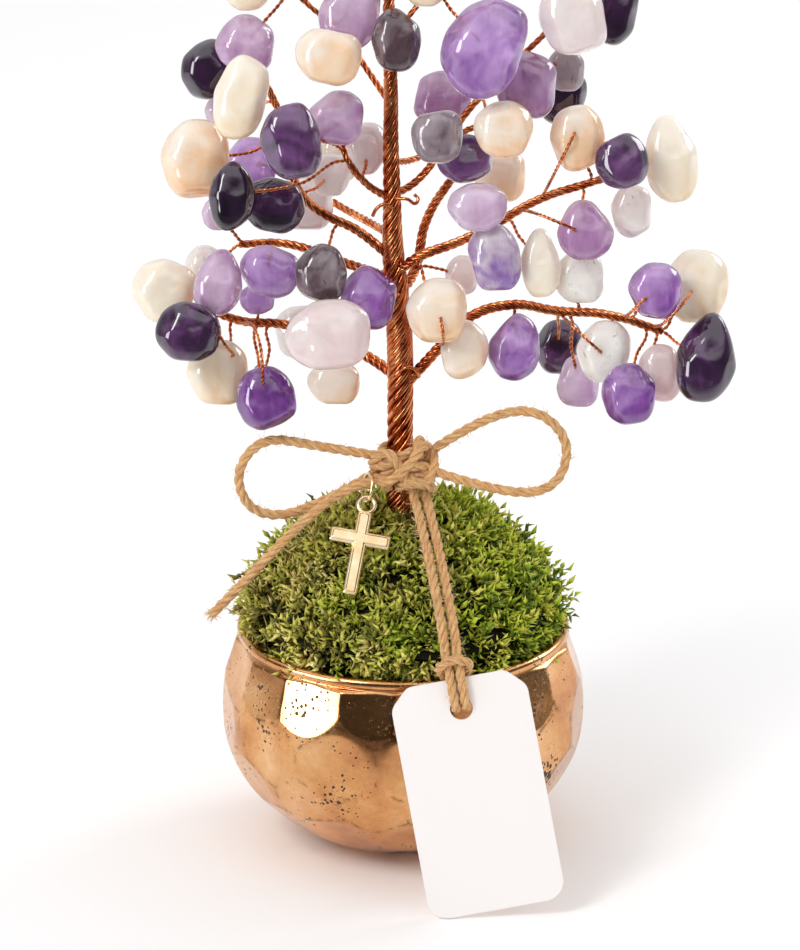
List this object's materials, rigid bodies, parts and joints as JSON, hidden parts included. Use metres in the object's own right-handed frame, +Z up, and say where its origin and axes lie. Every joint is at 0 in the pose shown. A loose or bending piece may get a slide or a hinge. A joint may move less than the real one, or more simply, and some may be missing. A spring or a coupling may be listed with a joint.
{
  "type": "gemstone tree ornament",
  "caption": "Wire tree with tumbled stones as leaves, planted in moss in a hammered metal bowl, with a twine bow, a leaning paper tag and a small hanging cross charm.",
  "frame": {"origin": "centre of the bowl's flat foot, on the table", "axes": "+Z up, -Y towards the viewer of the picture, +X to the viewer's right"},
  "size_m": [0.1198, 0.0824, 0.2083],
  "materials": {
    "bowl_copper": "hammered and polished",
    "plaster": "matt",
    "moss": "fibrous",
    "wire": "satin copper-brown",
    "stone_amethyst": "tumbled",
    "stone_clear": "tumbled",
    "stone_cream": "tumbled",
    "stone_lilac": "tumbled",
    "stone_peach": "tumbled",
    "stone_rose": "tumbled",
    "stone_smoky": "tumbled",
    "stone_violet": "tumbled",
    "twine": "hairy jute",
    "card": "uncoated",
    "gold": "polished"
  },
  "bodies": {
    "tree": {"bowl": "bowl_copper", "planting_compound": "plaster", "moss_mound": "moss", "trunk": "wire", "branch_low_left": "wire", "branch_low_right": "wire", "branch_inner_left": "wire", "branch_mid_left": "wire", "branch_twig_left": "wire", "branch_upper_left": "wire", "branch_mid_right": "wire", "branch_rising_right": "wire", "branch_upper_right": "wire", "branch_top_left": "wire", "branch_top_right": "wire", "branch_crown": "wire", "branch_back_left": "wire", "branch_back_right": "wire", "stones_amethyst": "stone_amethyst", "stones_clear": "stone_clear", "stones_cream": "stone_cream", "stones_lilac": "stone_lilac", "stones_peach": "stone_peach", "stones_rose": "stone_rose", "stones_smoky": "stone_smoky", "stones_violet": "stone_violet", "bow_knot": "twine", "bow_loop_left": "twine", "bow_loop_right": "twine", "bow_tail": "twine", "tag_cord_left": "twine", "tag_cord_right": "twine"},
    "ring": {"jump_ring": "gold"},
    "charm": {"cross_charm": "gold"},
    "tag": {"tag": "card", "tag_hitch": "twine"}
  },
  "joints": [
    {"name": "ring_swing", "type": "hinge", "parent": "tree", "child": "ring", "pos_m": [-0.00706, -0.01065, 0.0788], "axis": [-1, 0, 0], "range_deg": [0, 40]},
    {"name": "charm_swing", "type": "hinge", "parent": "ring", "child": "charm", "pos_m": [-0.00706, -0.01286, 0.07552], "axis": [0, -0.829, 0.5592], "range_deg": [-25, 25]},
    {"name": "tag_swing", "type": "hinge", "parent": "tree", "child": "tag", "pos_m": [0.00992, -0.03493, 0.04909], "axis": [-0.9833, -0.041, -0.1776], "range_deg": [0, 75]}
  ]
}
